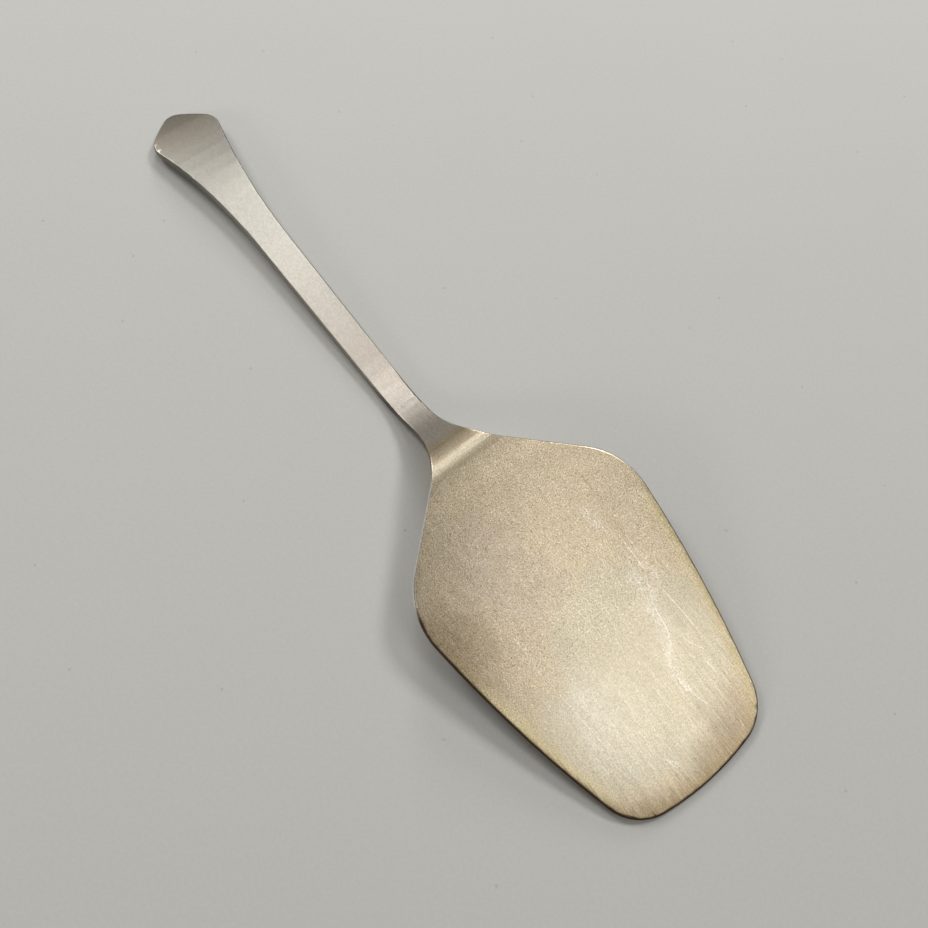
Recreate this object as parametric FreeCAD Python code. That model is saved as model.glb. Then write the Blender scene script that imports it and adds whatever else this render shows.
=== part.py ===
import FreeCAD, Part
import math
import os

# Serving spatula, one piece of metal

# The spatula lies face down, as it comes to rest when it is laid on a table.
# The blade's front edge, the foot of the neck and the handle's end touch the table, at z = 0.
# The ridge of the neck stands highest, and the handle arches a little between foot and end.
# x runs along the spatula, y across it, and z upwards. All sizes are in millimetres.
# The origin is on the table, below the middle of the spatula's box.

# Whole length and side view
overall_length = 235.0       # blade's front edge to the point of the handle's end, before it is rounded
blade_rise = 7.2             # degrees that the blade climbs from the table towards the neck
neck_fall = 36.5             # degrees that the neck drops from its ridge to the handle
handle_rise = 1.9            # degrees that the handle climbs again behind the foot
ridge_from_front = 98.4      # where the blade ends and the neck bends down
ridge_radius = 11.7          # inside of the bend between blade and neck
foot_radius = 29.5           # inside of the bend between neck and handle
end_curl_length = 32.0       # last stretch of the handle, which turns down to the table

# Thickness of the metal, drawn out thinner towards both ends
front_thickness = 1.0
ridge_thickness = 1.5
handle_thickness = 2.3
end_thickness = 1.5
upper_rounding = 0.4         # worn round edge all along the upper broad face
lower_easing = 0.2           # the lower broad face's edge is only eased, by a narrow slant

# Blade, seen from above
front_width = 43.1           # between the corners of the front edge, before they are rounded
front_bow_radius = 75.0      # the front edge is a shallow arc
front_corner_radius = 13.0
shoulder_from_front = 73.5
shoulder_width = 69.0        # between the shoulders' corners, before they are rounded
side_bow_radius = 311.0      # each side of the blade swells a little
shoulder_radius = 20.3

# Neck and handle, seen from above
neck_from_front = 101.6      # where the shoulders' slants would meet the handle's sides
neck_width = 7.1
neck_radius = 25.1           # hollow curve from the handle's side into the shoulder
flare_from_end = 54.5        # where the handle starts to widen
flare_start_width = 8.9
end_corners_from_end = 9.1
end_width = 21.6             # between the corners of the handle's end, before they are rounded
end_corner_radius = 5.7
end_bow_radius = 52.0        # each half of the handle's end swells a little
point_radius = 4.3           # blunt point in the middle of the handle's end

# Spare metal round the finished shape, before it is cut out
cutting_allowance = 5.0

# Places nearer than this are the same place, and a direction that leans less is level or upright
closeness = 0.001

Y_AXIS = FreeCAD.Vector(0, 1, 0)
Z_AXIS = FreeCAD.Vector(0, 0, 1)


def side_point(x, z):
    """A point of the side view, on the spatula's middle plane."""
    return FreeCAD.Vector(x, 0, z)


def plan_point(x, y):
    """A point of the outline seen from above, on the table."""
    return FreeCAD.Vector(x, y, 0)


def turned_up(angle, length):
    """A run of that length in the side view, at an angle in degrees above the table."""
    return side_point(length * math.cos(math.radians(angle)), length * math.sin(math.radians(angle)))


def line(start, end):
    """A straight edge."""
    return Part.LineSegment(start, end).toShape()


def bowed(start, end, radius, outwards):
    """An arc of a given radius between two points, which swells towards a direction."""
    middle = (start + end) * 0.5
    half_chord = start.distanceToPoint(end) / 2
    swell = radius - math.sqrt(radius ** 2 - half_chord ** 2)
    across = (end - start).cross(Z_AXIS).normalize()
    if across.dot(outwards) < 0:
        across = -across
    return Part.Arc(start, middle + across * swell, end).toShape()


def tangent_arc(start, direction, end):
    """An arc that leaves the start along a direction and reaches the end."""
    chord = end - start
    along = FreeCAD.Vector(direction).normalize()
    side = (chord - along * chord.dot(along)).normalize()
    radius = chord.Length ** 2 / (2 * chord.dot(side))
    centre = start + side * radius
    towards_middle = ((start + end) * 0.5 - centre).normalize()
    return Part.Arc(start, centre + towards_middle * radius, end).toShape()


def bend(corner, before, after, radius):
    """The arc that rounds a corner of the side view, between the directions before and after it."""
    half_turn = before.getAngle(after) / 2
    setback = radius * math.tan(half_turn)
    inwards = (after - before).normalize()
    depth = radius / math.cos(half_turn) - radius
    return Part.Arc(corner - before * setback, corner + inwards * depth, corner + after * setback).toShape()


def ends(edge):
    """The first and last point of an edge."""
    return edge.valueAt(edge.FirstParameter), edge.valueAt(edge.LastParameter)


def mitred(corner, before, after, thickness):
    """The upper corner above a lower one, where two stretches of metal meet."""
    half_turn = before.getAngle(after) / 2
    upwards = (before + after).cross(Y_AXIS).normalize()
    if upwards.z < 0:
        upwards = -upwards
    return corner + upwards * (thickness / math.cos(half_turn))


def foot_corner_depth():
    """How far the sharp lower corner of the foot lies below its rounded underside."""
    half_turn = math.radians((neck_fall + handle_rise) / 2)
    lean = math.radians((neck_fall - handle_rise) / 2)
    return (foot_radius + handle_thickness) * (math.cos(lean) / math.cos(half_turn) - 1)


def side_view():
    """The bent strip seen from the side: blade, ridge, neck, foot, handle and its turned-down end."""
    up_blade = turned_up(blade_rise, 1)
    down_neck = turned_up(-neck_fall, 1)
    along_handle = turned_up(handle_rise, 1)

    low_front = side_point(0, 0)
    low_ridge = low_front + up_blade * (ridge_from_front / up_blade.x)
    low_foot = low_ridge + down_neck * ((low_ridge.z + foot_corner_depth()) / -down_neck.z)
    low_curl = low_foot + along_handle * ((overall_length - end_curl_length - low_foot.x) / along_handle.x)
    low_end = side_point(overall_length, 0)

    high_front = mitred(low_front, up_blade, up_blade, front_thickness)
    high_ridge = mitred(low_ridge, up_blade, down_neck, ridge_thickness)
    high_foot = mitred(low_foot, down_neck, along_handle, handle_thickness)
    high_curl = mitred(low_curl, along_handle, along_handle, handle_thickness)
    high_end = side_point(overall_length, end_thickness)
    up_blade_top = (high_ridge - high_front).normalize()
    down_neck_top = (high_foot - high_ridge).normalize()

    low_bends = [
        bend(low_ridge, up_blade, down_neck, ridge_radius),
        bend(low_foot, down_neck, along_handle, foot_radius + handle_thickness),
    ]
    high_bends = [
        bend(high_ridge, up_blade_top, down_neck_top, ridge_radius + ridge_thickness),
        bend(high_foot, down_neck_top, along_handle, foot_radius),
    ]
    low = run_of_edges(low_front - up_blade * cutting_allowance, low_bends, low_curl)
    high = run_of_edges(high_front - up_blade_top * cutting_allowance, high_bends, high_curl)
    low.append(tangent_arc(low_curl, along_handle, low_end))
    high.append(tangent_arc(high_curl, along_handle, high_end))
    closing = [line(ends(low[0])[0], ends(high[0])[0]), line(low_end, high_end)]
    return low + high + closing


def run_of_edges(start, bends, end):
    """Bends joined by straight stretches, from the start to the end."""
    edges = []
    reached = start
    for arc in bends:
        arc_start, arc_end = ends(arc)
        edges.append(line(reached, arc_start))
        edges.append(arc)
        reached = arc_end
    edges.append(line(reached, end))
    return edges


def outline_corners():
    """The corners of one half of the outline, before they are rounded."""
    front_depth = front_bow_radius - math.sqrt(front_bow_radius ** 2 - (front_width / 2) ** 2)
    flare_from_front = overall_length - flare_from_end
    end_corners_from_front = overall_length - end_corners_from_end
    return {
        "front": plan_point(front_depth, front_width / 2),
        "shoulder": plan_point(shoulder_from_front, shoulder_width / 2),
        "neck": plan_point(neck_from_front, neck_width / 2),
        "flare": plan_point(flare_from_front, flare_start_width / 2),
        "end": plan_point(end_corners_from_front, end_width / 2),
        "point": plan_point(overall_length, 0),
    }


def outline():
    """The closed outline seen from above, with sharp corners."""
    at = outline_corners()
    half = [
        bowed(at["front"], at["shoulder"], side_bow_radius, Y_AXIS),
        line(at["shoulder"], at["neck"]),
        line(at["neck"], at["flare"]),
        tangent_arc(at["flare"], at["flare"] - at["neck"], at["end"]),
        bowed(at["end"], at["point"], end_bow_radius, Y_AXIS),
    ]
    other_half = [edge.mirror(plan_point(0, 0), Y_AXIS) for edge in half]
    other_front = plan_point(at["front"].x, -at["front"].y)
    front = Part.Arc(other_front, plan_point(0, 0), at["front"]).toShape()
    return half + other_half + [front]


def prism(edges, rise):
    """A solid pushed out from a closed run of edges."""
    wire = Part.Wire(Part.__sortEdges__(edges))
    return Part.Face(wire).extrude(rise)


def round_upright(blank, corner, radius):
    """Rounds the upright edges of a blank that stand at a corner and at its mirror place."""
    places = [corner, plan_point(corner.x, -corner.y)]
    chosen = []
    for edge in blank.Edges:
        foot = plan_point(edge.CenterOfMass.x, edge.CenterOfMass.y)
        upright = edge.BoundBox.XLength < closeness and edge.BoundBox.YLength < closeness
        if upright and min(foot.distanceToPoint(place) for place in places) < closeness:
            chosen.append(edge)
    return blank.makeFillet(radius, chosen)


def cut_blank():
    """The outline as an upright block taller than the bent strip, with every corner rounded."""
    ridge_height = ridge_from_front * math.tan(math.radians(blade_rise))
    block = prism(outline(), Z_AXIS * (ridge_height + handle_thickness + 2 * cutting_allowance))
    block.translate(Z_AXIS * -cutting_allowance)
    at = outline_corners()
    block = round_upright(block, at["front"], front_corner_radius)
    block = round_upright(block, at["shoulder"], shoulder_radius)
    block = round_upright(block, at["neck"], neck_radius)
    block = round_upright(block, at["end"], end_corner_radius)
    return round_upright(block, at["point"], point_radius)


def bent_strip():
    """The bent metal, wider than the blade."""
    width = shoulder_width + 2 * cutting_allowance
    strip = prism(side_view(), Y_AXIS * width)
    strip.translate(Y_AXIS * (-width / 2))
    return strip


def outwards_from(face):
    """The direction out of the metal in the middle of a face."""
    low_u, high_u, low_v, high_v = face.ParameterRange
    return face.normalAt((low_u + high_u) / 2, (low_v + high_v) / 2)


def rim_edges(body, broad_side):
    """The edges between the side all round and the broad face that looks towards a direction."""
    sides = [face for face in body.Faces if abs(outwards_from(face).z) < closeness]
    broad = [face for face in body.Faces if outwards_from(face).dot(broad_side) >= closeness]
    chosen = []
    for edge in body.Edges:
        on_side = any(edge.isSame(other) for face in sides for other in face.Edges)
        on_broad = any(edge.isSame(other) for face in broad for other in face.Edges)
        if on_side and on_broad:
            chosen.append(edge)
    return chosen


def serving_spatula():
    """The whole spatula: the bent strip, cut to the outline, rounded along its rim and set on the table."""
    body = bent_strip().common(cut_blank()).Solids[0]
    body = body.makeChamfer(lower_easing, rim_edges(body, -Z_AXIS)).Solids[0]
    body = body.makeFillet(upper_rounding, rim_edges(body, Z_AXIS)).Solids[0]
    box = body.optimalBoundingBox()
    body.translate(FreeCAD.Vector(-box.Center.x, -box.Center.y, -box.ZMin))
    return body


os.makedirs("parts", exist_ok=True)
spatula = serving_spatula()
print("volume in cubic millimetres:", round(spatula.Volume, 1), "valid:", spatula.isValid())
spatula.exportStep("parts/serving_spatula.step")
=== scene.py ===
import logging
import math
from dataclasses import dataclass
from enum import Enum, IntEnum

import bmesh
import bpy
from mathutils import Matrix, Vector

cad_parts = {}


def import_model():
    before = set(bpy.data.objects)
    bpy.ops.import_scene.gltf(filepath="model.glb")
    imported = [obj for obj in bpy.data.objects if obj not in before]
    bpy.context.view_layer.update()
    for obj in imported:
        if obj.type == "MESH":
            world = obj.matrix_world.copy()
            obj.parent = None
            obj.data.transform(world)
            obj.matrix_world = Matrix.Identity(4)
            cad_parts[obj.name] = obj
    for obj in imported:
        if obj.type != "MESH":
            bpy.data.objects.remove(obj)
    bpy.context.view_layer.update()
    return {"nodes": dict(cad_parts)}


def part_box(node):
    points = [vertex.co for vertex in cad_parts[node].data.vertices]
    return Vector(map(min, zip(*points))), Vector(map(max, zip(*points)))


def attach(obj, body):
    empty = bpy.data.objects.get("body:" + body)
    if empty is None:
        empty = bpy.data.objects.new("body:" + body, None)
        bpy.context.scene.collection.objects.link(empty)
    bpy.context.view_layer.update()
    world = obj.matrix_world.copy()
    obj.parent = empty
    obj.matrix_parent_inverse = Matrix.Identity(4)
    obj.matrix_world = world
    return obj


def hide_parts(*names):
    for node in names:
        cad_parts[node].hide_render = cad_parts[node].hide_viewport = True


# Serving spatula with a gilt blade and a satin silver handle, lying face down on a pale table.
# Lengths are metres, as in the frame: x runs from the blade's front edge to the handle's end,
# y across the blade, z up. In the picture, +x points to the upper left and +y to the lower left.
# The finishes are worked out in millimetres, from the same origin.

LOG = logging.getLogger("serving_spatula")
SPATULA_NODE = "serving_spatula"
MILLIMETRE = 0.001

PICTURE_TOP = Vector((0.8, -0.6, 0.0))
PICTURE_RIGHT = Vector((-0.6, -0.8, 0.0))

# The middle of a noise's range
NOISE_MIDDLE = 0.5

# The places of a Mix node's sockets where it mixes colours
MIX_FACTOR = 0
MIX_FIRST = 6
MIX_SECOND = 7
MIX_RESULT = 2

Colour = tuple[float, float, float]
Triple = tuple[float, float, float]
Pair = tuple[float, float]

# Where something begins, and where it is full; the second number may be the smaller one
Fade = tuple[float, float]

TARNISH: Colour = (0.32, 0.235, 0.145)


class Operation(Enum):
    """What a Math or a Vector Math node does."""

    ADD = "ADD"
    SUBTRACT = "SUBTRACT"
    MULTIPLY = "MULTIPLY"
    DIVIDE = "DIVIDE"
    ABSOLUTE = "ABSOLUTE"
    MINIMUM = "MINIMUM"
    MAXIMUM = "MAXIMUM"
    SCALE = "SCALE"
    DOT_PRODUCT = "DOT_PRODUCT"
    DISTANCE = "DISTANCE"
    LENGTH = "LENGTH"


# Vector Math operations that give a number and not a vector
NUMBER_OPERATIONS = (Operation.DOT_PRODUCT, Operation.DISTANCE, Operation.LENGTH)


class Mixing(Enum):
    """How two colours are mixed."""

    PLAIN = "MIX"
    MULTIPLIED = "MULTIPLY"


class Axis(IntEnum):
    """The level axes of the frame."""

    ALONG = 0
    ACROSS = 1


@dataclass(frozen=True)
class Pattern:
    """A cloudy pattern: the size of its blots along x, y and z, and its finer layers."""

    blots: Triple
    layers: float = 2.0
    layer_strength: float = 0.5


class Value:
    """A node's output; where it is a number, its operators add Math nodes."""

    def __init__(self, shop: "NodeShop", socket: bpy.types.NodeSocket) -> None:
        """Wraps one socket.

        Args:
            shop: the node shop that the socket's tree belongs to.
            socket: the output socket.
        """
        self.shop = shop
        self.socket = socket

    def _math(self, operation: Operation, first: object, second: object = None) -> "Value":
        """Adds one Math node.

        Args:
            operation: what the node does.
            first: its first value or socket.
            second: its second value or socket, if it has one.

        Returns:
            The node's result.
        """
        inputs = {0: first} if second is None else {0: first, 1: second}
        return self.shop.add("ShaderNodeMath", {"operation": operation.value}, inputs)

    def __add__(self, other: object) -> "Value":
        """The sum."""
        return self._math(Operation.ADD, self, other)

    def __radd__(self, other: object) -> "Value":
        """The sum, where a plain number stands first."""
        return self._math(Operation.ADD, other, self)

    def __sub__(self, other: object) -> "Value":
        """The difference."""
        return self._math(Operation.SUBTRACT, self, other)

    def __rsub__(self, other: object) -> "Value":
        """The difference, where a plain number stands first."""
        return self._math(Operation.SUBTRACT, other, self)

    def __mul__(self, other: object) -> "Value":
        """The product."""
        return self._math(Operation.MULTIPLY, self, other)

    def __rmul__(self, other: object) -> "Value":
        """The product, where a plain number stands first."""
        return self._math(Operation.MULTIPLY, other, self)

    def __truediv__(self, other: object) -> "Value":
        """The quotient."""
        return self._math(Operation.DIVIDE, self, other)

    def __abs__(self) -> "Value":
        """The size without its sign."""
        return self._math(Operation.ABSOLUTE, self)

    def held(self) -> "Value":
        """The number, kept between 0 and 1."""
        return self.shop.add("ShaderNodeClamp", {}, {0: self})

    def least(self, other: object) -> "Value":
        """The smaller of two numbers."""
        return self._math(Operation.MINIMUM, self, other)

    def most(self, other: object) -> "Value":
        """The larger of two numbers."""
        return self._math(Operation.MAXIMUM, self, other)

    def step(self, fade: Fade) -> "Value":
        """A smooth step from 0 at one value to 1 at another.

        Args:
            fade: the value where the result is 0, and the one where it is 1.

        Returns:
            The smooth step.
        """
        inputs = {"Value": self, "From Min": min(fade), "From Max": max(fade)}
        result = self.shop.add("ShaderNodeMapRange", {"interpolation_type": "SMOOTHSTEP"}, inputs)
        return 1 - result if fade[0] > fade[1] else result


class NodeShop:
    """Makes the nodes of one material, or of the world."""

    def __init__(self, owner: bpy.types.Material | bpy.types.World) -> None:
        """Starts with no nodes.

        Args:
            owner: the material or the world.
        """
        self.owner = owner
        owner.use_nodes = True
        self.tree = owner.node_tree
        self.tree.nodes.clear()

    @classmethod
    def for_material(cls, name: str) -> "NodeShop":
        """Starts a new material."""
        return cls(bpy.data.materials.new(name))

    def node(self, kind: str, settings: dict, inputs: dict) -> bpy.types.Node:
        """Adds a node.

        Args:
            kind: the node's type.
            settings: its own settings, which are set first; a ramp's stops are given as "stops".
            inputs: the values or links of its sockets, by place or name.

        Returns:
            The node.
        """
        node = self.tree.nodes.new(kind)
        for key, value in settings.items():
            if key == "stops":
                self._set_stops(node.color_ramp, value)
            else:
                setattr(node, key, value)
        for key, value in inputs.items():
            if isinstance(value, Value):
                self.tree.links.new(value.socket, node.inputs[key])
            else:
                node.inputs[key].default_value = value
        return node

    def add(self, kind: str, settings: dict, inputs: dict, output: int | str = 0) -> Value:
        """Adds a node and wraps the output that is wanted of it."""
        return Value(self, self.node(kind, settings, inputs).outputs[output])

    @staticmethod
    def _set_stops(ramp: bpy.types.ColorRamp, stops: list[tuple[float, Colour]]) -> None:
        """Gives a colour ramp its stops.

        Args:
            ramp: the ramp.
            stops: each stop's place and colour, in order.
        """
        while len(ramp.elements) < len(stops):
            ramp.elements.new(1.0)
        for element, (place, colour) in zip(ramp.elements, stops):
            element.position = place
            element.color = (*colour, 1.0)

    def place(self) -> Value:
        """Where on the object a point lies, in millimetres."""
        metres = self.add("ShaderNodeTexCoord", {}, {}, "Object")
        return self.vector(Operation.SCALE, metres, 1 / MILLIMETRE)

    def split(self, point: Value) -> list[Value]:
        """A place's x, y and z."""
        return [self.add("ShaderNodeSeparateXYZ", {}, {0: point}, axis) for axis in range(3)]

    def flattened(self, point: Value) -> Value:
        """A place, moved down to the plane z = 0."""
        return self.vector(Operation.MULTIPLY, point, Vector((1.0, 1.0, 0.0)))

    def facing(self) -> list[Value]:
        """The surface's direction along x, y and z, each from -1 to 1."""
        return self.split(self.add("ShaderNodeTexCoord", {}, {}, "Normal"))

    def vector(self, operation: Operation, first: object, second: object = None) -> Value:
        """Works on vectors with one Vector Math node.

        Args:
            operation: what the node does.
            first: the first vector.
            second: the other vector, or the factor where the first one is scaled.

        Returns:
            The new vector, or the number for a length, a distance or a dot product.
        """
        inputs = {0: first}
        if second is not None:
            inputs["Scale" if operation is Operation.SCALE else 1] = second
        output = "Value" if operation in NUMBER_OPERATIONS else "Vector"
        return self.add("ShaderNodeVectorMath", {"operation": operation.value}, inputs, output)

    def distance_to_run(self, point: Value, start: Vector, end: Vector) -> Value:
        """How far a place lies from a straight run.

        Args:
            point: the place.
            start: where the run starts.
            end: where it ends.

        Returns:
            The distance.
        """
        run = end - start
        offset = self.vector(Operation.SUBTRACT, point, start)
        along = self.vector(Operation.DOT_PRODUCT, offset, run / run.length_squared)
        foot = self.vector(Operation.SCALE, run, along.held())
        return self.vector(Operation.DISTANCE, offset, foot)

    def oval(self, point: Value, centre: Pair, reach: Pair) -> Value:
        """How far a place lies from an upright oval column: 0 in its middle and 1 at its edge.

        Args:
            point: the place.
            centre: the oval's middle, in x and y.
            reach: its half length and half width.

        Returns:
            The share of the way from the middle to the edge.
        """
        offset = self.vector(Operation.SUBTRACT, point, Vector((*centre, 0.0)))
        share = self.vector(Operation.MULTIPLY, offset, Vector((1 / reach[0], 1 / reach[1], 0.0)))
        return self.vector(Operation.LENGTH, share)

    def noise(self, point: Value, pattern: Pattern) -> Value:
        """A cloudy pattern, between about -0.5 and 0.5."""
        return self._noise(point, pattern, "Fac") - NOISE_MIDDLE

    def wandering(self, point: Value, pattern: Pattern, reach: float) -> Value:
        """A place, moved to and fro by three cloudy patterns.

        Args:
            point: the place.
            pattern: the patterns' shape.
            reach: how far it moves, at most about half of this.

        Returns:
            The moved place.
        """
        colour = self._noise(point, pattern, "Color")
        middle = Vector((NOISE_MIDDLE, NOISE_MIDDLE, NOISE_MIDDLE))
        wander = self.vector(Operation.SUBTRACT, colour, middle)
        return self.vector(Operation.ADD, point, self.vector(Operation.SCALE, wander, reach))

    def _noise(self, point: Value, pattern: Pattern, output: str) -> Value:
        """Adds one noise node.

        Args:
            point: where on the object.
            pattern: the pattern's shape.
            output: which of the node's outputs is wanted.

        Returns:
            That output.
        """
        inputs = {
            "Vector": self._stretched(point, pattern.blots),
            "Scale": 1.0,
            "Detail": pattern.layers,
            "Roughness": pattern.layer_strength,
        }
        return self.add("ShaderNodeTexNoise", {"noise_dimensions": "3D"}, inputs, output)

    def cell_distance(self, point: Value, spacing: float) -> Value:
        """How far a place lies from the nearest of many scattered points on the plane z = 0.

        Args:
            point: the place.
            spacing: about how far apart the points are.

        Returns:
            The distance.
        """
        inputs = {"Vector": self._stretched(point, (spacing, spacing, spacing)), "Scale": 1.0}
        return self.add("ShaderNodeTexVoronoi", {"voronoi_dimensions": "2D"}, inputs, "Distance") * spacing

    def _stretched(self, point: Value, blots: Triple) -> Value:
        """The place, measured in blots of a given size."""
        scale = Vector([1 / size for size in blots])
        return self.add("ShaderNodeMapping", {"vector_type": "POINT"}, {"Vector": point, "Scale": scale})

    def plain(self, red: object, green: object, blue: object) -> Value:
        """A colour as a socket."""
        return self.add("ShaderNodeCombineColor", {}, {"Red": red, "Green": green, "Blue": blue})

    def shaded(self, colour: Value, shade: Value) -> Value:
        """A colour made lighter or darker by a factor."""
        return self.blend(1.0, colour, self.plain(shade, shade, shade), Mixing.MULTIPLIED)

    def ramp(self, factor: Value, heights: list[Pair]) -> Value:
        """A value that follows a chain of points.

        Args:
            factor: where along the chain, from 0 to 1.
            heights: each point's place and value, both from 0 to 1.

        Returns:
            The value.
        """
        stops = [(place, (height, height, height)) for place, height in heights]
        return self.add("ShaderNodeValToRGB", {"stops": stops}, {"Fac": factor})

    def blend(self, factor: object, first: object, second: object, how: Mixing = Mixing.PLAIN) -> Value:
        """Mixes two colours.

        Args:
            factor: how much of the second one is wanted.
            first: a colour or its socket.
            second: a colour or its socket.
            how: the way they are mixed.

        Returns:
            The mixed colour.
        """
        settings = {"data_type": "RGBA", "blend_type": how.value}
        inputs = {MIX_FACTOR: factor, MIX_FIRST: self._rgba(first), MIX_SECOND: self._rgba(second)}
        return self.add("ShaderNodeMix", settings, inputs, MIX_RESULT)

    @staticmethod
    def _rgba(colour: object) -> object:
        """A plain colour with its alpha, or a socket as it is."""
        return colour if isinstance(colour, Value) else (*colour, 1.0)

    def finish(self, shader: Value) -> bpy.types.Material | bpy.types.World:
        """Connects the shader to the output.

        Args:
            shader: the finished shader.

        Returns:
            The material or the world.
        """
        is_world = isinstance(self.owner, bpy.types.World)
        kind = "ShaderNodeOutputWorld" if is_world else "ShaderNodeOutputMaterial"
        self.node(kind, {}, {"Surface": shader})
        return self.owner


@dataclass(frozen=True)
class BladeOutline:
    """The blade's edge, measured from the frame's own corners, in millimetres.

    Half widths go with places along the spatula, and front places with places across it.
    """

    half_widths: tuple[Pair, ...]
    fronts: tuple[Pair, ...]

    @classmethod
    def measured(cls, mesh: bpy.types.Mesh, stations: int = 28) -> "BladeOutline":
        """Reads the outline from the solid's mesh.

        Args:
            mesh: the solid's mesh.
            stations: how many places are kept in each direction.

        Returns:
            The outline.
        """
        places = [vertex.co / MILLIMETRE for vertex in mesh.vertices]
        length = min(place.x for place in places), 0.0
        width = 0.0, max(place.y for place in places)
        half_widths = cls._farthest([(place.x, place.y) for place in places], length, stations)
        fronts = cls._farthest([(place.y, -place.x) for place in places if place.y >= 0], width, stations)
        return cls(tuple(half_widths), tuple(fronts))

    @staticmethod
    def _farthest(pairs: list[Pair], reach: Pair, stations: int) -> list[Pair]:
        """The largest value near each of several evenly spaced places.

        Args:
            pairs: places with their values.
            reach: the first and the last place.
            stations: how many places are wanted.

        Returns:
            Each place with its largest value; empty stretches are skipped.
        """
        first, last = reach
        step = (last - first) / stations
        found: dict[int, Pair] = {}
        for place, value in pairs:
            number = int((place - first) / step)
            if 0 <= number < stations and value > found.get(number, (0.0, -math.inf))[1]:
                found[number] = (place, value)
        return [found[number] for number in sorted(found)]

    def distances(self, x: Value, y: Value) -> tuple[Value, Value]:
        """How far a place on the blade lies inside its edge.

        Args:
            x: the place along the spatula.
            y: the place across it.

        Returns:
            The distance from the nearer side and the distance from the front edge.
        """
        across = abs(y)
        beside = self._followed(x, self.half_widths) - across
        behind = self._followed(across, self.fronts) + x
        return beside, behind

    @staticmethod
    def _followed(place: Value, points: tuple[Pair, ...]) -> Value:
        """A value that follows measured points.

        Args:
            place: where along the points.
            points: each point's place and value.

        Returns:
            The value at that place.
        """
        first, last = points[0][0], points[-1][0]
        low = min(value for _, value in points)
        high = max(value for _, value in points)
        heights = [((at - first) / (last - first), (value - low) / (high - low)) for at, value in points]
        return low + (high - low) * place.shop.ramp((place - first) / (last - first), heights)


@dataclass(frozen=True)
class Stretch:
    """A stretch along the spatula, in millimetres, which fades at its back and at its front."""

    back: Fade
    front: Fade

    def holds(self, x: Value) -> Value:
        """1 inside the stretch and 0 outside it."""
        return x.step(self.back) * x.step(self.front)


@dataclass(frozen=True)
class Zone:
    """A stretch along the spatula, in millimetres, where the metal is lighter or darker by a share."""

    start: float
    end: float
    softness: float
    change: float

    def shade(self, x: Value) -> Value:
        """How much lighter or darker a place is.

        Args:
            x: the place along the spatula.

        Returns:
            The share, above or below 0.
        """
        half = self.softness / 2
        stretch = Stretch((self.start + half, self.start - half), (self.end - half, self.end + half))
        return stretch.holds(x) * self.change


# Lighter or darker stretches along the spatula, from the handle's end to the blade: partly the metal's own
# tone and partly painted light, with a painted highlight on the foot bend and painted shade beside the
# ridge's highlight
TONE_AND_PAINTED_LIGHT_ZONES = (
    Zone(119.0, 111.5, 2.0, -0.12),
    Zone(111.0, 102.0, 3.0, 0.08),
    Zone(99.0, 83.0, 6.0, -0.07),
    Zone(63.0, 46.0, 8.0, 0.04),
    Zone(17.6, 13.4, 2.0, 0.10),
    Zone(13.4, 7.0, 2.2, 0.26),
    Zone(5.6, 3.2, 1.6, -0.10),
    Zone(1.8, -2.5, 1.8, 0.17),
    Zone(-3.2, -7.5, 2.0, 0.06),
    Zone(-9.0, -13.0, 2.0, -0.04),
    Zone(-14.8, -18.2, 1.4, -0.11),
    Zone(-18.8, -20.0, 0.8, -0.07),
    Zone(-20.6, -22.2, 0.9, -0.12),
    Zone(-22.8, -25.5, 1.5, -0.04),
    Zone(-26.0, -30.0, 2.0, 0.04),
)


@dataclass(frozen=True)
class Mark:
    """One mark of use on the blade's upper face: a chain of short runs, in millimetres."""

    path: tuple[Pair, ...]
    width: float
    strength: float


# Fine bright scratches, nearly all of them lengthwise
SCRATCHES = (
    Mark(((-75.4, -19.7), (-81.3, -20.2), (-87.3, -20.5)), 0.18, 0.85),
    Mark(((-69.5, -19.2), (-59.5, -19.5)), 0.20, 0.80),
    Mark(((-69.5, -20.8), (-60.5, -20.9)), 0.26, 0.45),
    Mark(((-80.0, 16.7), (-87.6, 16.1), (-95.6, 15.5)), 0.18, 0.70),
    Mark(((-95.3, 18.9), (-101.1, 18.6)), 0.18, 0.60),
    Mark(((-99.1, 16.4), (-105.0, 15.5)), 0.16, 0.50),
    Mark(((-86.4, -16.3), (-89.7, -16.7), (-93.2, -18.7)), 0.16, 0.60),
    Mark(((-94.7, -21.4), (-101.1, -21.9)), 0.16, 0.50),
    Mark(((-96.1, -17.3), (-99.4, -17.7)), 0.20, 0.70),
    Mark(((-92.0, -14.9), (-95.0, -16.0)), 0.16, 0.55),
    Mark(((-102.6, -5.3), (-105.4, -4.6)), 0.18, 0.60),
    Mark(((-111.4, -14.9), (-113.6, -14.6)), 0.20, 0.55),
    Mark(((-93.9, -9.0), (-97.2, -8.8), (-103.4, -10.8)), 0.16, 0.65),
    Mark(((-78.0, -15.4), (-84.0, -14.4), (-88.0, -12.6)), 0.16, 0.75),
    Mark(((-75.0, 17.4), (-63.0, 17.2)), 0.22, 0.35),
    Mark(((-56.0, -31.0), (-54.0, -30.6), (-52.0, -31.4)), 0.20, 0.50),
)

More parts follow.
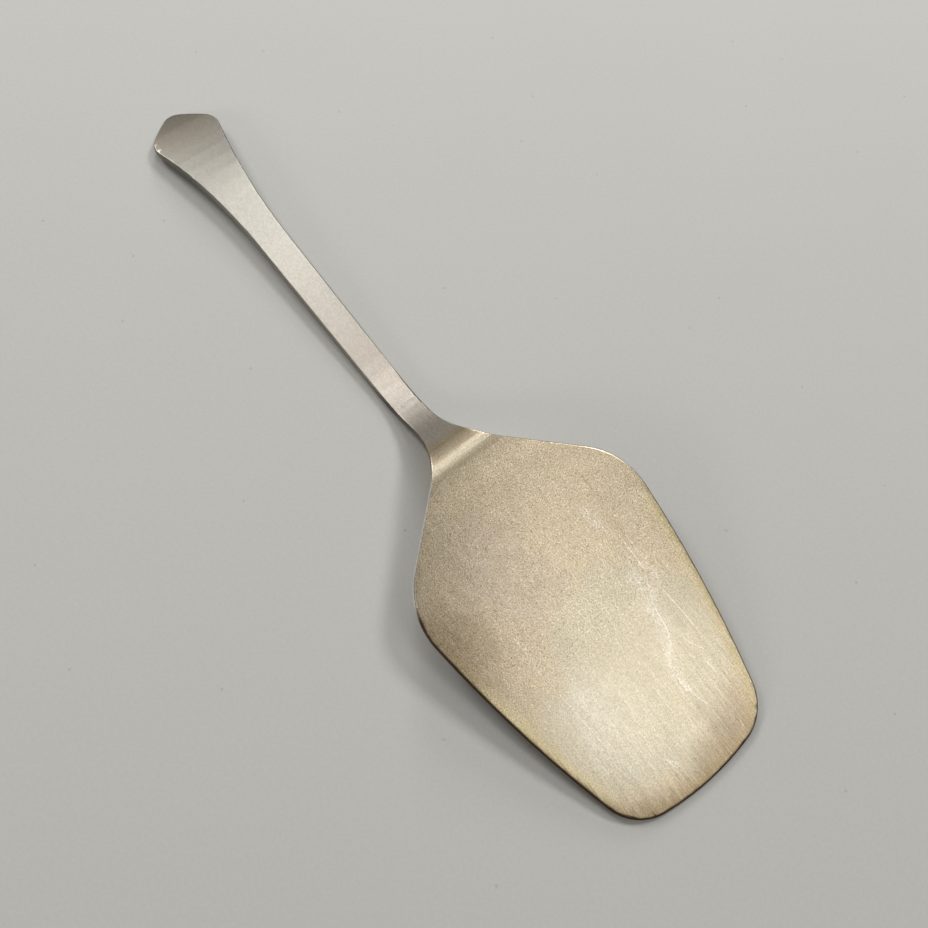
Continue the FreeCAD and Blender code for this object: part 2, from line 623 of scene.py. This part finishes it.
# Whitish scuffs: broad faint rubs, and the brighter cores in them
SCUFFS = (
    Mark(((-68.5, -20.0), (-71.2, -21.0), (-74.1, -20.2)), 1.2, 0.45),
    Mark(((-69.5, -15.8), (-72.2, -16.8), (-75.2, -16.7), (-78.3, -14.8)), 2.6, 0.36),
    Mark(((-74.5, -17.1), (-78.3, -15.0), (-83.2, -14.0), (-87.0, -12.4)), 3.4, 0.34),
    Mark(((-87.0, -12.4), (-89.7, -10.1), (-93.9, -9.2), (-97.2, -9.0)), 2.4, 0.42),
    Mark(((-76.0, -16.4), (-80.0, -14.6), (-84.0, -13.6)), 1.1, 0.40),
    Mark(((-88.0, -11.6), (-90.5, -9.9), (-94.5, -9.1), (-98.5, -9.2)), 1.0, 0.52),
    Mark(((-55.0, -17.0), (-50.0, -15.8)), 2.2, 0.35),
    Mark(((-107.1, 5.6), (-109.4, 4.4)), 0.9, 0.55),
    Mark(((-106.5, -7.0), (-106.0, 0.0)), 2.4, 0.22),
    Mark(((-84.0, 12.9), (-92.5, 12.4)), 5.0, 0.34),
    Mark(((-91.5, 17.9), (-97.0, 16.3)), 2.6, 0.32),
    Mark(((-45.0, 12.5), (-43.5, 15.0)), 2.5, 0.22),
)

# Brown smudges, where the gilding is tarnished
SMUDGES = (
    Mark(((-50.0, -21.6), (-40.5, -21.2)), 0.6, 0.35),
    Mark(((-36.0, -22.0), (-33.0, -16.0)), 4.0, 0.12),
    Mark(((-62.0, -21.0), (-50.0, -20.0)), 4.0, 0.14),
)


@dataclass(frozen=True)
class Patch:
    """An oval patch of another tone on the blade, in millimetres, with a ragged edge.

    The edge fades in where the share of the way from the patch's middle passes the two numbers.
    """

    centre: Pair
    reach: Pair
    raggedness: float
    edge: Fade
    strength: float = 1.0

    def covers(self, point: Value, cloud: Value) -> Value:
        """How strongly the patch covers a place.

        Args:
            point: the place.
            cloud: the cloudy pattern that makes the edge ragged.

        Returns:
            The strength, from 0 to 1.
        """
        share = point.shop.oval(point, self.centre, self.reach) + self.raggedness * cloud
        return self.strength * share.step(self.edge)


@dataclass(frozen=True)
class MetalPlace:
    """What the finish knows about a place on the spatula's surface, in millimetres.

    The rim is the distance from the blade's edge, and behind_front the one from its front edge.
    Where the surface is turned down, on the rounded rim and on the side, turned_down is 1. Near
    the handle's end, tip is 1. The streaks are fine, between about -0.5 and 0.5.
    """

    point: Value
    x: Value
    y: Value
    rim: Value
    behind_front: Value
    faces_left: Value
    faces_up: Value
    turned_down: Value
    tip: Value
    streaks: Value


@dataclass(frozen=True)
class Surface:
    """Where the spatula's surface turns down, and the fine streaks along it."""

    sideways: Fade = (0.25, 0.60)
    slightly_sideways: Fade = (0.05, 0.25)
    off_level: Fade = (0.97, 0.80)
    sloping: Stretch = Stretch((18.0, 13.0), (-27.0, -23.0))
    foot: Stretch = Stretch((16.0, 9.0), (-11.0, -6.0))
    tip: Fade = (84.0, 95.0)
    streaks: Pattern = Pattern((14.0, 0.34, 6.0), 3.0, 0.6)

    def read(self, shop: NodeShop, outline: BladeOutline) -> MetalPlace:
        """Works out what the finish needs to know of each place.

        Args:
            shop: where the nodes are made.
            outline: the blade's edge.

        Returns:
            The place.
        """
        point = shop.place()
        x, y, _ = shop.split(point)
        _, faces_left, faces_up = shop.facing()
        beside, behind = outline.distances(x, y)
        tip = x.step(self.tip)
        leaning = faces_up.step(self.off_level) * (1 - self.sloping.holds(x))
        easing = self.foot.holds(x).most(tip) * abs(faces_left).step(self.slightly_sideways)
        return MetalPlace(
            point=point,
            x=x,
            y=y,
            rim=beside.least(behind),
            behind_front=behind,
            faces_left=faces_left,
            faces_up=faces_up,
            turned_down=abs(faces_left).step(self.sideways).most(leaning).most(easing),
            tip=tip,
            streaks=shop.noise(point, self.streaks),
        )


@dataclass(frozen=True)
class BareSilver:
    """The bare metal of handle and neck: pinker towards the neck and duller at the end, where these tints
    are a painted warm reflection of the room.
    """

    silver: Colour = (0.615, 0.59, 0.525)
    # Painted reflection: the pinker and the darker warm tints stand in for the warm room that the neck and
    # the handle's end reflect
    pink_reflection: Colour = (0.635, 0.575, 0.50)
    dim_warm_reflection: Colour = (0.555, 0.505, 0.425)
    clouds: Pattern = Pattern((7.0, 4.0, 7.0), 3.0, 0.6)
    cloud_edge: Fade = (-0.14, 0.16)
    pink_towards_neck: Fade = (75.0, 15.0)
    least_pink: float = 0.55
    dull_towards_end: Fade = (92.0, 114.0)
    flecks: Pattern = Pattern((1.3, 0.8, 1.3), 2.0, 0.6)
    fleck_contrast: float = 0.30
    streak_contrast: float = 0.16
    streaks_lost: float = 0.13
    streaks_end: Fade = (45.0, 85.0)
    # Painted shade on the rounded edges, stronger on the right side, near the neck and at the tip
    edge_dimming: float = 0.45
    right_edge_dimming: float = 0.17
    neck_edge_dimming: float = 0.30
    tip_edge_dimming: float = 0.14
    towards_right: Fade = (0.5, -0.5)
    towards_neck: Fade = (18.0, 6.0)

    def colour(self, shop: NodeShop, at: MetalPlace) -> Value:
        """The metal's colour.

        Args:
            shop: where the nodes are made.
            at: the place.

        Returns:
            The colour.
        """
        cloud = shop.noise(at.point, self.clouds).step(self.cloud_edge)
        # Painted reflection: pinker towards the neck and darker at the end, for the warm room that these
        # stretches reflect
        pink_reflection = at.x.step(self.pink_towards_neck) * (self.least_pink + (1 - self.least_pink) * cloud)
        colour = shop.blend(pink_reflection, self.silver, self.pink_reflection)
        colour = shop.blend(at.x.step(self.dull_towards_end), colour, self.dim_warm_reflection)
        contrast = self.streak_contrast - self.streaks_lost * at.x.step(self.streaks_end)
        shade = 1 + self.fleck_contrast * shop.noise(at.point, self.flecks) + at.streaks * contrast
        return shop.shaded(colour, shade * (1 - self._painted_edge_shade(at)))

    def _painted_edge_shade(self, at: MetalPlace) -> Value:
        """How much darker the rounded edges are painted: painted shade that dims their glints.

        Args:
            at: the place.

        Returns:
            The share by which the colour is darker.
        """
        painted_shade_share = self.edge_dimming + self.right_edge_dimming * at.faces_left.step(self.towards_right)
        painted_shade_share = painted_shade_share + self.neck_edge_dimming * at.x.step(self.towards_neck)
        return at.turned_down * (painted_shade_share + self.tip_edge_dimming * at.tip)


@dataclass(frozen=True)
class GiltFilm:
    """The gilding: worn pale in the middle of its front half, brassy and brown along the edges, with a
    painted highlight along the ridge.
    """

    gilt: Colour = (0.634, 0.533, 0.378)
    worn: Colour = (0.600, 0.529, 0.392)
    polished_and_highlight: Colour = (0.69, 0.63, 0.485)
    rosy: Colour = (0.602, 0.502, 0.397)
    brass: Colour = (0.74, 0.63, 0.36)
    tarnish: Colour = TARNISH
    clouds: Pattern = Pattern((9.0, 7.0, 9.0), 3.0, 0.6)
    blotches: Pattern = Pattern((4.0, 1.8, 4.0), 3.0, 0.65)
    worn_patch: Patch = Patch((-88.0, -4.0), (27.0, 22.0), 0.9, (1.12, 0.86))
    polished_patch: Patch = Patch((-93.0, 13.0), (18.0, 15.0), 1.2, (1.25, 0.35), 0.9)
    rosy_patch: Patch = Patch((-50.0, 10.0), (20.0, 13.0), 1.0, (1.1, 0.4), 0.5)
    brown_patch: Patch = Patch((-58.0, 37.0), (18.0, 20.0), 0.3, (1.15, 0.15), 0.75)
    # Where the painted highlight along the ridge's bend lies
    ridge: Stretch = Stretch((-18.2, -19.2), (-21.6, -20.4))
    painted_ridge_highlight: float = 0.6
    brassy_rim: Fade = (4.5, 0.5)
    brassy_raggedness: float = 5.0
    brassy_from: Fade = (-46.0, -62.0)
    brassy_strength: float = 0.7
    brown_band: float = 7.0
    brown_band_growth: float = 10.0
    band_grows: Fade = (6.0, -10.0)
    band_raggedness: float = 4.0
    band_right_end: Fade = (-22.0, -15.0)
    band_end_share: float = 0.5
    band_strength: float = 0.78
    streak_contrast: float = 0.13
    front_streak_contrast: float = 0.50
    front_streaks: Fade = (-66.0, -104.0)
    cloud_contrast: float = 0.22
    blotch_contrast: float = 0.25

    def colour(self, shop: NodeShop, at: MetalPlace) -> Value:
        """The film's colour, before its marks.

        Args:
            shop: where the nodes are made.
            at: the place.

        Returns:
            The colour.
        """
        cloud = shop.noise(at.point, self.clouds)
        blotch = shop.noise(at.point, self.blotches)
        colour = shop.blend(self.worn_patch.covers(at.point, cloud), self.gilt, self.worn)
        colour = shop.blend(self.polished_patch.covers(at.point, cloud), colour, self.polished_and_highlight)
        colour = shop.blend(self.rosy_patch.covers(at.point, cloud), colour, self.rosy)
        # Painted highlight: the ridge's bend is painted pale, for the lamp's reflection in it
        colour = shop.blend(self.painted_ridge_highlight * self.ridge.holds(at.x), colour, self.polished_and_highlight)
        brassy = (at.rim + self.brassy_raggedness * blotch).step(self.brassy_rim)
        brassy = self.brassy_strength * brassy * at.x.step(self.brassy_from)
        colour = shop.blend(brassy, colour, self.brass)
        colour = shop.blend(self._front(at, blotch), colour, self.tarnish)
        colour = shop.blend(self.brown_patch.covers(at.point, blotch), colour, self.tarnish)
        brushed = self.streak_contrast + self.front_streak_contrast * at.x.step(self.front_streaks)
        shade = 1 + at.streaks * brushed + self.cloud_contrast * cloud + self.blotch_contrast * blotch
        return shop.shaded(colour, shade)

    def _front(self, at: MetalPlace, blotch: Value) -> Value:
        """The tarnished band behind the front edge, broader on the right and fainter at its end.

        Args:
            at: the place.
            blotch: the pattern that makes the band ragged.

        Returns:
            The strength, from 0 to 1.
        """
        band = self.brown_band + self.brown_band_growth * at.y.step(self.band_grows)
        ragged = at.behind_front + self.band_raggedness * (blotch + at.streaks)
        share = self.band_end_share + (1 - self.band_end_share) * at.y.step(self.band_right_end)
        return self.band_strength * (ragged / band).step((1.0, 0.0)) * share


@dataclass(frozen=True)
class MarksOfUse:
    """Smudges, scuffs, scratches and hairlines on the blade's upper face."""

    tarnish: Colour = TARNISH
    scuffed: Colour = (0.92, 0.87, 0.78)
    upper_face: Fade = (0.2, 0.5)
    wander: Pattern = Pattern((1.1, 1.1, 1.1), 2.0)
    rub_wander: float = 1.4
    scratch_wander: float = 0.12
    crumbs: Pattern = Pattern((0.9, 0.45, 0.9), 3.0, 0.7)
    crumb_edge: Fade = (-0.14, 0.12)
    hairs: Pattern = Pattern((9.0, 0.16, 5.0), 1.0, 0.5)
    hair_edge: Fade = (0.12, 0.26)
    hair_strength: float = 0.35
    smudge_softness: float = 1.0
    smudge_strength: float = 0.85
    smudge_streaks: float = 0.6
    scuff_softness: float = 0.9
    scratch_softness: float = 0.7
    scratch_least: float = 0.45
    scratch_crumbs: float = 0.75

    def over(self, shop: NodeShop, at: MetalPlace, colour: Value) -> Value:
        """The film's colour with its marks.

        Args:
            shop: where the nodes are made.
            at: the place.
            colour: the film's colour.

        Returns:
            The marked colour.
        """
        upper = at.faces_up.step(self.upper_face)
        ragged = shop.wandering(at.point, self.wander, self.rub_wander)
        crumbs = shop.noise(at.point, self.crumbs).step(self.crumb_edge)
        smudges = self._reach(shop, ragged, SMUDGES, self.smudge_softness)
        smudges = smudges * upper * (self.smudge_strength + self.smudge_streaks * at.streaks)
        colour = shop.blend(smudges.held(), colour, self.tarnish)
        scuffs = self._reach(shop, ragged, SCUFFS, self.scuff_softness) * crumbs
        colour = shop.blend(scuffs * upper, colour, self.scuffed)
        faint = shop.wandering(at.point, self.wander, self.scratch_wander)
        scratches = self._reach(shop, faint, SCRATCHES, self.scratch_softness)
        scratches = scratches * (self.scratch_least + self.scratch_crumbs * crumbs)
        colour = shop.blend((scratches * upper).held(), colour, self.scuffed)
        hairs = shop.noise(at.point, self.hairs).step(self.hair_edge)
        return shop.blend(self.hair_strength * hairs * upper, colour, self.scuffed)

    @staticmethod
    def _reach(shop: NodeShop, point: Value, marks: tuple[Mark, ...], softness: float) -> Value:
        """How strongly a place is marked.

        Args:
            shop: where the nodes are made.
            point: the place on the spatula, in millimetres.
            marks: the marks.
            softness: the part of a mark's half width over which it fades.

        Returns:
            The strength of the strongest mark there.
        """
        flat = shop.flattened(point)
        strongest: Value | None = None
        for mark in marks:
            nearest: Value | None = None
            for start, end in zip(mark.path, mark.path[1:]):
                away = shop.distance_to_run(flat, Vector((*start, 0)), Vector((*end, 0)))
                nearest = away if nearest is None else nearest.least(away)
            half = mark.width / 2
            strength = nearest.step((half * (1 + softness), half * (1 - softness))) * mark.strength
            strongest = strength if strongest is None else strongest.most(strength)
        return strongest


@dataclass(frozen=True)
class BladeRim:
    """The blade's rim: a painted highlight at the left shoulder, and painted shade, nearly black, on the
    side faces in front of it and along the front; the rounded rim is also painted darker on its right side
    and behind the ridge.
    """

    # Colours of the painted highlight on the left shoulder's rim and of the painted shade on the side
    # faces
    painted_highlight: Colour = (0.95, 0.92, 0.84)
    painted_black_shade: Colour = (0.07, 0.045, 0.025)
    bright_rim: Fade = (0.75, 0.45)
    bright_stretch: Stretch = Stretch((-19.0, -23.0), (-47.0, -42.0))
    bright_side: Fade = (-2.0, 3.0)
    towards_right: Fade = (0.1, -0.4)
    behind_ridge: Fade = (-23.0, -19.0)
    painted_shade_share: float = 0.65
    towards_left: Fade = (-0.95, -0.1)
    black_rim: Fade = (0.8, 0.3)
    black_from_right: Fade = (-21.0, -12.0)
    black_stretch: Fade = (-42.0, -48.0)
    black_strength: float = 0.9

    def over(self, shop: NodeShop, at: MetalPlace, colour: Value) -> Value:
        """The film's colour with its rim.

        Args:
            shop: where the nodes are made.
            at: the place.
            colour: the film's colour.

        Returns:
            The colour with its rim.
        """
        # Painted highlight: the left shoulder's rim is painted near white
        painted_highlight = at.turned_down.most(at.rim.step(self.bright_rim)) * self.bright_stretch.holds(at.x)
        colour = shop.blend(painted_highlight * at.y.step(self.bright_side), colour, self.painted_highlight)
        # Painted shade: the rounded rim is darker on its right side and behind the ridge
        rim_shade_places = at.faces_left.step(self.towards_right).most(at.x.step(self.behind_ridge))
        colour = shop.shaded(colour, 1 - self.painted_shade_share * at.turned_down * rim_shade_places)
        # Painted shade: in front of the shoulder, the side faces and the rim, except on the right side,
        # are painted nearly black
        side = at.turned_down * at.faces_left.step(self.towards_left)
        line = at.rim.step(self.black_rim) * at.y.step(self.black_from_right)
        black = self.black_strength * side.most(line) * at.x.step(self.black_stretch)
        return shop.blend(black, colour, self.painted_black_shade)


@dataclass(frozen=True)
class Grain:
    """The metal's fine grain: sharp and strong on the blade's back half, soft on the handle."""

    fine_blots: float = 0.21
    middle_blots: float = 0.33
    soft_blots: float = 0.55
    blade: Fade = (-14.0, -20.0)
    back_half: Stretch = Stretch((-16.0, -24.0), (-98.0, -66.0))
    handle: Fade = (6.0, 40.0)
    fine_strength: float = 3.0
    blade_strength: float = 1.15
    blade_lost: float = 0.8
    neck_strength: float = 0.75
    handle_strength: float = 0.42
    handle_lost: float = 0.25
    towards_end: Fade = (60.0, 104.0)
    red_share: float = 0.80
    green_share: float = 0.88
    blue_share: float = 1.15
    darkest: float = 0.1

    def height(self, shop: NodeShop, at: MetalPlace) -> Value:
        """The grain's strength, below and above 0.

        Args:
            shop: where the nodes are made.
            at: the place.

        Returns:
            The strength.
        """
        sizes = (self.fine_blots, self.middle_blots, self.soft_blots)
        fine, middle, soft = (shop.noise(at.point, Pattern((size, size, size), 1.0)) for size in sizes)
        back_half = self.back_half.holds(at.x)
        handle = at.x.step(self.handle)
        blade = at.x.step(self.blade)
        on_blade = self.blade_strength * blade * (1 - self.blade_lost * back_half)
        on_neck = self.neck_strength * (1 - blade) * (1 - handle)
        on_handle = handle * (self.handle_strength - self.handle_lost * at.x.step(self.towards_end))
        return self.fine_strength * fine * back_half + middle * (on_blade + on_neck) + soft * on_handle

    def over(self, shop: NodeShop, colour: Value, height: Value) -> Value:
        """A colour with the grain in it.

        Args:
            shop: where the nodes are made.
            colour: the colour.
            height: the grain's strength.

        Returns:
            The grained colour.
        """
        shares = (self.red_share, self.green_share, self.blue_share)
        factors = shop.plain(*((1 + share * height).most(self.darkest) for share in shares))
        return shop.blend(1.0, colour, factors, Mixing.MULTIPLIED)


@dataclass(frozen=True)
class GiltSilver:
    """Satin silver-coloured metal with a worn matt gilt film on the blade."""

    gilding_edge: Fade = (-12.25, -13.75)
    edge_wander: Pattern = Pattern((1.6, 1.6, 1.6))
    edge_reach: float = 0.8
    roughness: float = 0.28
    rim_roughness: float = 0.46
    streak_roughness: float = 0.04
    streaks_start: Fade = (70.0, 20.0)
    grain_depth: float = 0.004 * MILLIMETRE
    bump_strength: float = 0.35

    def make(self, outline: BladeOutline) -> bpy.types.Material:
        """Builds the finish.

        Args:
            outline: the blade's edge, as measured from the frame.

        Returns:
            The material.
        """
        shop = NodeShop.for_material("worn gilt and satin silver")
        at = Surface().read(shop, outline)
        silver = BareSilver().colour(shop, at)
        film = GiltFilm().colour(shop, at)
        film = MarksOfUse().over(shop, at, film)
        film = BladeRim().over(shop, at, film)
        ragged = at.x + self.edge_reach * shop.noise(at.point, self.edge_wander)
        colour = shop.blend(ragged.step(self.gilding_edge), silver, film)
        # Painted light along the spatula: the zones add a painted highlight on the foot bend and painted
        # shade beside the ridge, besides the metal's tone
        colour = shop.shaded(colour, 1 + sum(zone.shade(at.x) for zone in TONE_AND_PAINTED_LIGHT_ZONES))
        grain = Grain()
        height = grain.height(shop, at)
        colour = grain.over(shop, colour, height * (1 - at.turned_down))
        roughness = self.roughness + self.streak_roughness * at.streaks * at.x.step(self.streaks_start)
        roughness = roughness + (self.rim_roughness - self.roughness) * at.turned_down
        relief = {"Strength": self.bump_strength, "Distance": self.grain_depth, "Height": height}
        normal = shop.add("ShaderNodeBump", {}, relief)
        inputs = {"Base Color": colour, "Metallic": 1.0, "Roughness": roughness, "Normal": normal}
        return shop.finish(shop.add("ShaderNodeBsdfPrincipled", {}, inputs))


@dataclass(frozen=True)
class TableTop:
    """Pale matt table with faint clouding and a few specks of dust."""

    colour: Colour = (0.735, 0.74, 0.71)
    roughness: float = 0.9
    gloss: float = 0.2
    clouds: Pattern = Pattern((70.0, 70.0, 70.0))
    cloud_contrast: float = 0.035
    mottle: Pattern = Pattern((0.9, 0.9, 0.9))
    mottle_contrast: float = 0.10
    speck_wander: Pattern = Pattern((0.5, 0.5, 0.5), 1.0)
    speck_wander_reach: float = 0.7
    speck_spacing: float = 42.0
    speck_edge: Fade = (0.5, 0.2)
    speck_contrast: float = 0.16

    def make(self) -> bpy.types.Material:
        """Builds the finish.

        Returns:
            The material.
        """
        shop = NodeShop.for_material("pale table top")
        point = shop.place()
        cloud = self.cloud_contrast * shop.noise(point, self.clouds)
        mottle = self.mottle_contrast * shop.noise(point, self.mottle)
        ragged = shop.wandering(point, self.speck_wander, self.speck_wander_reach)
        speck = self.speck_contrast * shop.cell_distance(ragged, self.speck_spacing).step(self.speck_edge)
        colour = shop.shaded(shop.plain(*self.colour), 1 + cloud + mottle - speck)
        inputs = {"Base Color": colour, "Roughness": self.roughness, "Specular IOR Level": self.gloss}
        return shop.finish(shop.add("ShaderNodeBsdfPrincipled", {}, inputs))


@dataclass
class Spatula:
    """The one-piece spatula: blade, cranked neck and handle."""

    node: str = SPATULA_NODE
    name: str = "spatula_metal"
    same_point: float = 0.002 * MILLIMETRE
    flat_angle: float = math.radians(0.4)
    crease_angle: float = math.radians(30.0)
    cell: float = 2.0 * MILLIMETRE
    most_corners: int = 4

    def build(self, solid: bpy.types.Object) -> bpy.types.Object:
        """Makes a joined-up copy of the CAD solid's surface, evenly divided and smoothly shaded.

        Args:
            solid: the CAD node's object.

        Returns:
            The new piece.
        """
        form = bmesh.new()
        form.from_mesh(solid.data)
        bmesh.ops.remove_doubles(form, verts=form.verts, dist=self.same_point)
        bmesh.ops.dissolve_limit(
            form, angle_limit=self.flat_angle, verts=form.verts, edges=form.edges, delimit=set()
        )
        low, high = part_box(self.node)
        for axis in Axis:
            self._divide(form, axis, low[axis], high[axis])
        many_sided = [face for face in form.faces if len(face.verts) > self.most_corners]
        bmesh.ops.triangulate(form, faces=many_sided)
        mesh = bpy.data.meshes.new(self.name)
        form.to_mesh(mesh)
        form.free()
        mesh.shade_smooth()
        mesh.set_sharp_from_angle(angle=self.crease_angle)
        piece = bpy.data.objects.new(self.name, mesh)
        bpy.context.scene.collection.objects.link(piece)
        piece.modifiers.new("even shading", "WEIGHTED_NORMAL").keep_sharp = True
        return piece

    def _divide(self, form: bmesh.types.BMesh, axis: Axis, start: float, end: float) -> None:
        """Cuts the surface at even steps along one axis, without changing its form.

        Args:
            form: the surface.
            axis: the axis.
            start: where the surface starts on that axis.
            end: where it ends.
        """
        count = round((end - start) / self.cell)
        normal = Vector((0, 0, 0))
        normal[axis] = 1
        for number in range(1, count):
            place = normal * (start + (end - start) * number / count)
            bmesh.ops.bisect_plane(
                form,
                geom=[*form.verts, *form.edges, *form.faces],
                dist=self.same_point,
                plane_co=place,
                plane_no=normal,
            )

    def dress(self, piece: bpy.types.Object, finish: GiltSilver, solid: bpy.types.Object) -> None:
        """Gives the piece its finish and its place in the frame.

        Args:
            piece: the piece.
            finish: the metal's finish.
            solid: the CAD node's object, which gives the blade's outline.
        """
        piece.data.materials.clear()
        piece.data.materials.append(finish.make(BladeOutline.measured(solid.data)))
        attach(piece, "root")
        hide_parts(self.node)


@dataclass(frozen=True)
class Softbox:
    """A large soft lamp that looks at the middle of the table.

    Its lean is measured from straight above, and its bearing from the picture's top, clockwise.
    """

    name: str
    lean: float
    bearing: float
    watts: float
    side: float = 0.26
    distance: float = 1.2

    def hang(self) -> bpy.types.Object:
        """Makes the lamp.

        Returns:
            The lamp's object.
        """
        lamp = bpy.data.lights.new(self.name, "AREA")
        lamp.shape = "SQUARE"
        lamp.size = self.side
        lamp.energy = self.watts
        holder = bpy.data.objects.new(self.name, lamp)
        direction = self.direction()
        holder.location = direction * self.distance
        holder.rotation_euler = direction.to_track_quat("Z", "Y").to_euler()
        bpy.context.scene.collection.objects.link(holder)
        return holder

    def direction(self) -> Vector:
        """Works out where the lamp hangs.

        Returns:
            The direction from the table's middle to the lamp.
        """
        lean = math.radians(self.lean)
        bearing = math.radians(self.bearing)
        level = PICTURE_TOP * math.cos(bearing) + PICTURE_RIGHT * math.sin(bearing)
        return level * math.sin(lean) + Vector((0, 0, 1)) * math.cos(lean)


SOFTBOXES = (
    Softbox("overhead_north", 21.0, 0.0, 0.25),
    Softbox("overhead_north_east", 21.0, 60.0, 0.17),
    Softbox("overhead_east", 21.0, 90.0, 0.26),
    Softbox("overhead_south_east", 21.0, 120.0, 0.19),
    Softbox("high_north", 32.0, -15.0, 0.30),
    Softbox("high_east", 32.0, 105.0, 0.40),
    Softbox("high_south_east", 32.0, 120.0, 0.15),
    Softbox("mid_north_west", 44.0, -30.0, 0.24),
    Softbox("mid_north", 44.0, 0.0, 0.64),
    Softbox("mid_north_east", 44.0, 45.0, 3.65),
    Softbox("low_north_west", 57.0, -45.0, 3.09),
    Softbox("low_north", 70.0, 0.0, 2.92),
    Softbox("low_south_west", 70.0, 240.0, 1.68),
)


@dataclass
class Studio:
    """The table, the lamps and the pale surroundings."""

    table_side: float = 3.0
    surroundings: Colour = (1.0, 0.9, 0.8)
    glow: float = 0.13
    backdrop: Colour = (0.53, 0.525, 0.50)

    def lay_table(self) -> bpy.types.Object:
        """Makes the table top at the spatula's underside.

        Returns:
            The table's object.
        """
        form = bmesh.new()
        bmesh.ops.create_grid(form, x_segments=1, y_segments=1, size=self.table_side / 2)
        mesh = bpy.data.meshes.new("table_top")
        form.to_mesh(mesh)
        form.free()
        mesh.materials.append(TableTop().make())
        table = bpy.data.objects.new("table_top", mesh)
        bpy.context.scene.collection.objects.link(table)
        return table

    def set_world(self) -> None:
        """Makes the even glow of the room, and the pale backdrop that only the camera sees."""
        shop = NodeShop(bpy.data.worlds.new("room"))
        light = {"Color": (*self.surroundings, 1.0), "Strength": self.glow}
        glow = shop.add("ShaderNodeBackground", {}, light)
        backdrop = shop.add("ShaderNodeBackground", {}, {"Color": (*self.backdrop, 1.0), "Strength": 1.0})
        seen = shop.add("ShaderNodeLightPath", {}, {}, "Is Camera Ray")
        mixed = shop.add("ShaderNodeMixShader", {}, {0: seen, 1: glow, 2: backdrop})
        bpy.context.scene.world = shop.finish(mixed)

    @staticmethod
    def hang_lamps() -> list[bpy.types.Object]:
        """Hangs the softboxes and gives their objects."""
        return [lamp.hang() for lamp in SOFTBOXES]


@dataclass
class PictureCamera:
    """The camera at the picture's viewing angle; its place is in millimetres."""

    position: Triple = (-75.446, 60.582, 228.437)
    right: Triple = (-0.61743, -0.78388, 0.06570)
    down: Triple = (-0.75234, 0.56406, -0.34033)
    focal_pixels: float = 930.0
    picture_pixels: float = 928.0
    sensor: float = 36.0
    nearest: float = 10.0 * MILLIMETRE

    def place(self) -> bpy.types.Object:
        """Makes the camera and has the scene use it.

        Returns:
            The camera's object.
        """
        lens = bpy.data.cameras.new("picture_camera")
        lens.sensor_width = self.sensor
        lens.lens = self.sensor * self.focal_pixels / self.picture_pixels
        lens.clip_start = self.nearest
        holder = bpy.data.objects.new("picture_camera", lens)
        right = Vector(self.right).normalized()
        down = Vector(self.down)
        up = -(down - right * down.dot(right)).normalized()
        turn = Matrix((right, up, right.cross(up))).transposed()
        holder.matrix_world = Matrix.Translation(Vector(self.position) * MILLIMETRE) @ turn.to_4x4()
        bpy.context.scene.collection.objects.link(holder)
        bpy.context.scene.camera = holder
        return holder


def main() -> None:
    """Builds the spatula's look, the table, the lamps and the camera, in that order."""
    logging.basicConfig(level=logging.INFO, format="%(name)s: %(message)s")
    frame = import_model()
    spatula = Spatula()
    solid = frame["nodes"][spatula.node]
    piece = spatula.build(solid)
    spatula.dress(piece, GiltSilver(), solid)
    LOG.info("%s: %d faces", piece.name, len(piece.data.polygons))
    studio = Studio()
    LOG.info("%s laid", studio.lay_table().name)
    studio.set_world()
    LOG.info("%d lamps hung", len(studio.hang_lamps()))
    LOG.info("%s placed", PictureCamera().place().name)
    bpy.context.scene.view_settings.view_transform = "Standard"


if __name__ == "__main__":
    main()
